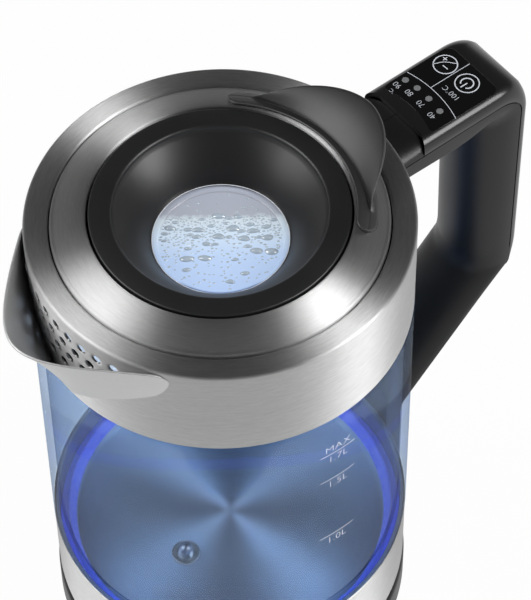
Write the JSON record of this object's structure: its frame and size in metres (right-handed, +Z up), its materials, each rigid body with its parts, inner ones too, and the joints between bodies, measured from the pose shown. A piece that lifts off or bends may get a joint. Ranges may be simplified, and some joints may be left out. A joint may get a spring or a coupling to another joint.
{
  "type": "electric kettle",
  "caption": "Glass electric kettle with steel collar, beaked spout, lift-off lid with clear window, keypad handle and round power base.",
  "frame": {"origin": "on the kettle's axis, in the plane that the power base stands on", "axes": "+Z up along the kettle's axis, +X towards the handle, -X towards the spout"},
  "size_m": [0.2193, 0.139, 0.2383],
  "materials": {
    "glass": "clear, slightly blue",
    "brushed_steel": "brushed",
    "bright_steel": "satin",
    "black_satin_plastic": "satin",
    "black_matte_plastic": "matte",
    "dark_plastic": "matte",
    "black_gloss": "gloss",
    "black_silicone": "matte",
    "clear_silicone": "translucent",
    "light_guide": "translucent",
    "aluminium": "cast",
    "bimetal": "satin",
    "contact_brass": "bright",
    "board": "satin",
    "switch": "matte",
    "screw_steel": "bright",
    "wire": "matte"
  },
  "bodies": {
    "power_base": {"power_base_cover": "black_matte_plastic", "power_base_plate": "black_matte_plastic", "base_foot": "black_silicone", "base_screws": "screw_steel", "cord_gland": "black_matte_plastic", "socket_housing": "dark_plastic"},
    "swivel_socket": {"base_socket": "dark_plastic", "base_contacts": "contact_brass"},
    "kettle": {"glass_body": "glass", "top_collar": "brushed_steel", "spout": "brushed_steel", "collar_liner": "dark_plastic", "collar_seal": "black_silicone", "base_ring": "brushed_steel", "base_seal": "black_silicone", "heating_plate": "bright_steel", "plate_seal": "clear_silicone", "heat_spreader": "aluminium", "heating_element": "aluminium", "boil_dry_discs": "bimetal", "temperature_probe": "bright_steel", "light_ring": "light_guide", "light_leds": "light_guide", "led_board": "board", "base_frame": "dark_plastic", "power_board": "board", "kettle_base_cover": "dark_plastic", "kettle_connector": "dark_plastic", "connector_contacts": "contact_brass", "bottom_screws": "screw_steel", "handle_shell": "black_matte_plastic", "handle_bridge": "black_satin_plastic", "handle_cover": "black_satin_plastic", "handle_bracket": "bright_steel", "control_panel": "black_gloss", "control_board": "board", "indicator_leds": "light_guide", "key_switches": "switch", "handle_screws": "screw_steel", "handle_wiring": "wire"},
    "lid": {"lid_ring": "brushed_steel", "lid_funnel": "black_satin_plastic", "lid_window": "glass", "window_seal": "black_silicone", "lid_tab": "black_matte_plastic", "lid_body": "dark_plastic", "lid_gasket": "clear_silicone", "lid_screws": "screw_steel"},
    "power_key": {"power_key": "dark_plastic"},
    "temperature_key": {"temperature_key": "dark_plastic"}
  },
  "joints": [
    {"name": "base_swivel", "type": "hinge", "parent": "power_base", "child": "swivel_socket", "pos_m": [0, 0, 0], "axis": [0, 0, 1], "continuous": true},
    {"name": "kettle_lift", "type": "slide", "parent": "swivel_socket", "child": "kettle", "axis": [0, 0, 1], "range_m": [0, 0.12]},
    {"name": "lid_lift", "type": "slide", "parent": "kettle", "child": "lid", "axis": [0, 0, 1], "range_m": [0, 0.08]},
    {"name": "power_key_press", "type": "slide", "parent": "kettle", "child": "power_key", "axis": [0, 0, -1], "range_m": [0, 0.00025], "stiffness_N_per_m": 4000, "springref_m": -0.0002},
    {"name": "temperature_key_press", "type": "slide", "parent": "kettle", "child": "temperature_key", "axis": [0, 0, -1], "range_m": [0, 0.00025], "stiffness_N_per_m": 4000, "springref_m": -0.0002}
  ]
}
